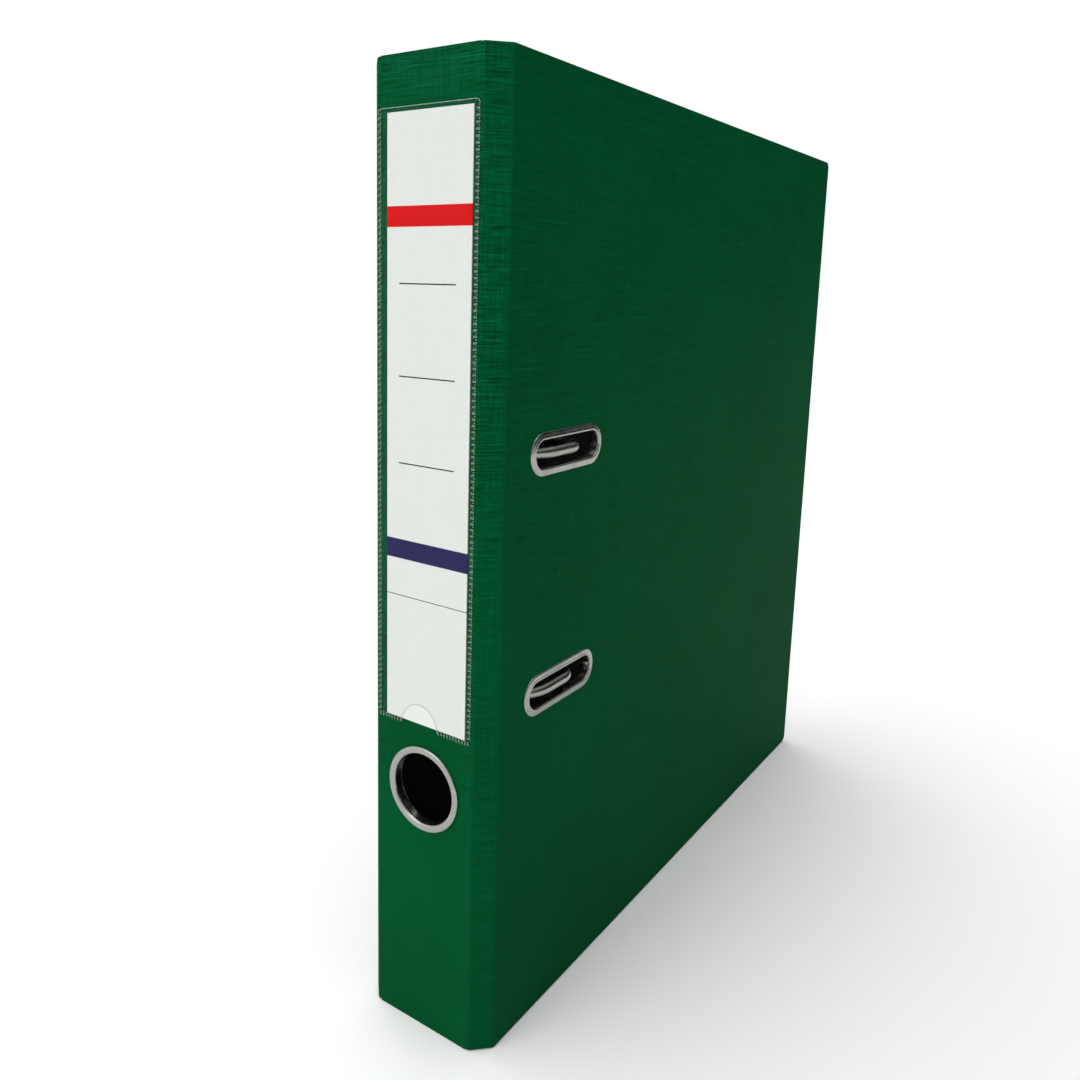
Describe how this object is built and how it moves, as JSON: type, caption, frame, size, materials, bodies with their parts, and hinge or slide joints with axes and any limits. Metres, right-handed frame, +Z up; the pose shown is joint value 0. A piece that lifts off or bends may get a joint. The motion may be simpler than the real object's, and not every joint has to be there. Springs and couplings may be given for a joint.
{
  "type": "lever arch file",
  "caption": "Upright hinged file case with a bevelled spine, finger ring, label pocket and slotted front cover, holding a riveted lever-operated arch mechanism.",
  "frame": {"origin": "bottom centre of the closed file's bounding box, on the surface it stands on", "axes": "+Z up along the spine, -Y out of the spine's face, +X out of the front cover"},
  "size_m": [0.054, 0.2828, 0.315],
  "materials": {
    "green_film": "linen-embossed polypropylene film",
    "greyboard": "uncoated dense greyboard",
    "liner_paper": "plain uncoated paper",
    "nickel": "nickel-plated steel",
    "spring_steel": "blued spring steel",
    "roller_plastic": "moulded acetal",
    "black_plastic": "moulded polypropylene",
    "clear_film": "clear film",
    "label_card": "smooth white card with plain colour bands"
  },
  "bodies": {
    "spine": {"spine_board": "greyboard", "spine_film": "green_film", "spine_liner": "liner_paper", "finger_ring": "nickel", "finger_ring_backing": "nickel", "label_pocket": "clear_film"},
    "front_joint": {"front_joint_board": "greyboard", "front_joint_film": "green_film", "front_joint_liner": "liner_paper"},
    "front_cover": {"front_cover_board": "greyboard", "front_cover_film": "green_film", "front_cover_liner": "liner_paper", "lower_slot_eyelet": "nickel", "lower_slot_backing": "nickel", "upper_slot_eyelet": "nickel", "upper_slot_backing": "nickel"},
    "back_joint": {"back_joint_board": "greyboard", "back_joint_film": "green_film", "back_joint_liner": "liner_paper"},
    "back_cover": {"back_cover_board": "greyboard", "back_cover_film": "green_film", "back_cover_liner": "liner_paper", "base_plate": "nickel", "lower_post": "nickel", "upper_post": "nickel", "lever_bracket": "nickel", "lever_pivot_pin": "nickel", "bracket_rivets": "nickel", "leaf_spring_rivet": "nickel", "mechanism_rivets": "nickel", "leaf_spring": "spring_steel"},
    "arches": {"arch_wire": "nickel"},
    "lever": {"lever": "nickel", "roller_pin": "nickel"},
    "pressure_roller": {"pressure_roller": "roller_plastic"},
    "compressor": {"compressor_bar": "black_plastic"},
    "label": {"spine_label": "label_card"}
  },
  "joints": [
    {"name": "front_joint_fold", "type": "hinge", "parent": "spine", "child": "front_joint", "pos_m": [0.02, -0.1406, 0], "axis": [0, 0, -1], "range_deg": [0, 45]},
    {"name": "front_cover_fold", "type": "hinge", "parent": "front_joint", "child": "front_cover", "pos_m": [0.026, -0.1346, 0], "axis": [0, 0, -1], "range_deg": [0, 45]},
    {"name": "back_joint_fold", "type": "hinge", "parent": "spine", "child": "back_joint", "pos_m": [-0.02, -0.1406, 0], "axis": [0, 0, 1], "range_deg": [0, 45]},
    {"name": "back_cover_fold", "type": "hinge", "parent": "back_joint", "child": "back_cover", "pos_m": [-0.026, -0.1346, 0], "axis": [0, 0, 1], "range_deg": [0, 45]},
    {"name": "arch_swing", "type": "hinge", "parent": "back_cover", "child": "arches", "pos_m": [-0.0182, -0.1236, 0.1575], "axis": [0, 0, -1], "range_deg": [0, 49.5]},
    {"name": "lever_lift", "type": "hinge", "parent": "back_cover", "child": "lever", "pos_m": [-0.011, -0.1126, 0.1865], "axis": [0, -1, 0], "range_deg": [0, 90]},
    {"name": "roller_spin", "type": "hinge", "parent": "lever", "child": "pressure_roller", "pos_m": [-0.0121, -0.1126, 0.1665], "axis": [0, 1, 0], "continuous": true},
    {"name": "compressor_slide", "type": "slide", "parent": "back_cover", "child": "compressor", "axis": [1, 0, 0], "range_m": [0, 0.034]},
    {"name": "label_slide", "type": "slide", "parent": "spine", "child": "label", "axis": [0, 0, 1], "range_m": [0, 0.185]}
  ],
  "couplings": [
    {"joint": "front_joint_fold", "follows": "front_cover_fold", "ratio": 1},
    {"joint": "back_joint_fold", "follows": "back_cover_fold", "ratio": 1},
    {"joint": "arch_swing", "follows": "back_cover_fold", "ratio": 1.1},
    {"joint": "lever_lift", "follows": "back_cover_fold", "ratio": 2}
  ]
}
